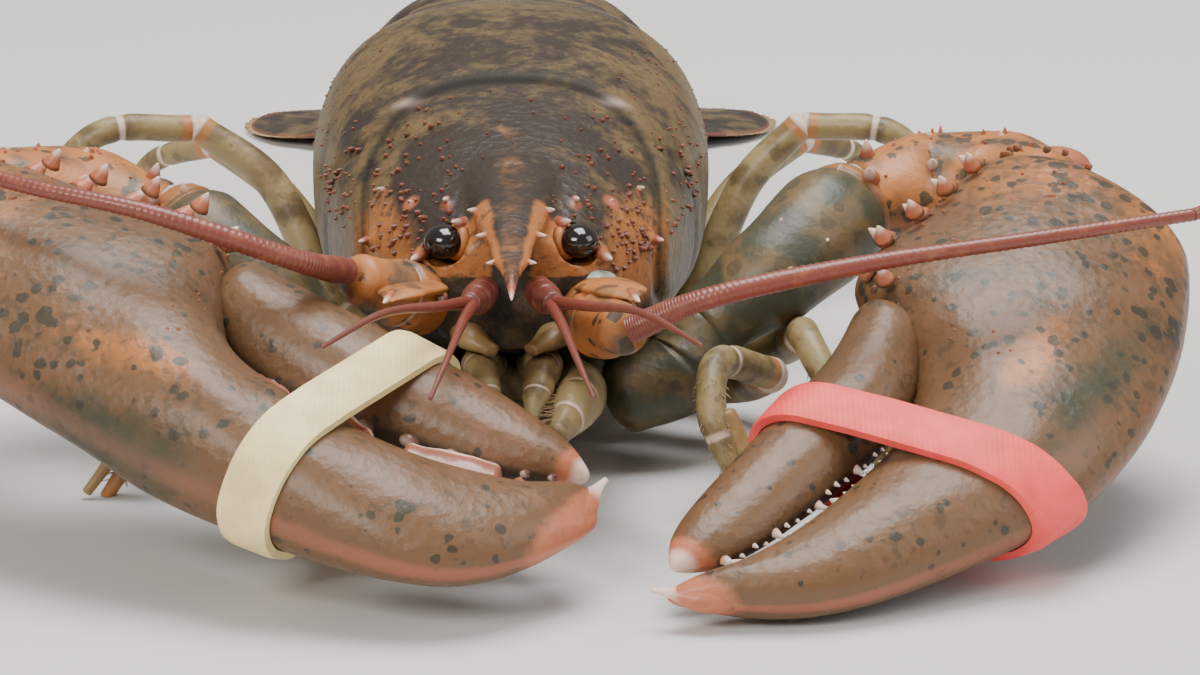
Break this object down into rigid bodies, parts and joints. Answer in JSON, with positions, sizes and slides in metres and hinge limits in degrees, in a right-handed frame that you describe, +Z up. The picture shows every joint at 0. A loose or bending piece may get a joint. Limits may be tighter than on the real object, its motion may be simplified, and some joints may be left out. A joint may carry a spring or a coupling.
{
  "type": "american lobster",
  "caption": "Life-size still model of an american lobster resting on the floor, claws banded shut, feelers swept back and tail fan spread.",
  "frame": {"origin": "centre of the bounding box's base, at floor level", "axes": "+Z up, -Y the way the lobster faces, +X to its left side"},
  "size_m": [0.297, 0.3586, 0.0688],
  "materials": {
    "carapace_shell": "dark olive-brown shell, mottled orange at the cheeks and along the beak, semi-gloss",
    "claw_shell": "brown-red claw shell with dark green-brown spots and red-pink rims, semi-gloss",
    "arm_shell": "orange shell with dark spots, semi-gloss",
    "leg_shell": "olive-tan leg shell, semi-gloss",
    "tail_shell": "brown tail shell with orange rims, semi-gloss",
    "antenna_shell": "red-brown feeler, satin",
    "eye": "black, glossy",
    "band_coral": "coral-pink elastic band, matte",
    "band_cream": "cream-white elastic band, matte"
  },
  "bodies": {
    "root": {"carapace": "carapace_shell", "thorax_underside": "leg_shell", "eye_left": "eye", "eyestalk_left": "carapace_shell", "antennule_left": "antenna_shell", "antenna_base_left": "carapace_shell", "antenna_near_left": "antenna_shell", "antenna_far_left": "antenna_shell", "maxilliped_left": "leg_shell", "ischium_left": "arm_shell", "merus_left": "arm_shell", "carpus_left": "arm_shell", "palm_left": "claw_shell", "dactyl_left": "claw_shell", "uropod_inner_left": "tail_shell", "uropod_outer_left": "tail_shell", "leg_2_upper_left": "leg_shell", "leg_2_lower_left": "leg_shell", "leg_3_upper_left": "leg_shell", "leg_3_lower_left": "leg_shell", "leg_4_upper_left": "leg_shell", "leg_4_lower_left": "leg_shell", "leg_5_upper_left": "leg_shell", "leg_5_lower_left": "leg_shell", "eye_right": "eye", "eyestalk_right": "carapace_shell", "antennule_right": "antenna_shell", "antenna_base_right": "carapace_shell", "antenna_near_right": "antenna_shell", "antenna_far_right": "antenna_shell", "maxilliped_right": "leg_shell", "ischium_right": "arm_shell", "merus_right": "arm_shell", "carpus_right": "arm_shell", "palm_right": "claw_shell", "dactyl_right": "claw_shell", "uropod_inner_right": "tail_shell", "uropod_outer_right": "tail_shell", "leg_2_upper_right": "leg_shell", "leg_2_lower_right": "leg_shell", "leg_3_upper_right": "leg_shell", "leg_3_lower_right": "leg_shell", "leg_4_upper_right": "leg_shell", "leg_4_lower_right": "leg_shell", "leg_5_upper_right": "leg_shell", "leg_5_lower_right": "leg_shell", "claw_band_left": "band_coral", "claw_band_right": "band_cream", "abdomen_1": "tail_shell", "abdomen_2": "tail_shell", "abdomen_3": "tail_shell", "abdomen_4": "tail_shell", "abdomen_5": "tail_shell", "abdomen_6": "tail_shell", "telson": "tail_shell"}
  },
  "joints": []
}
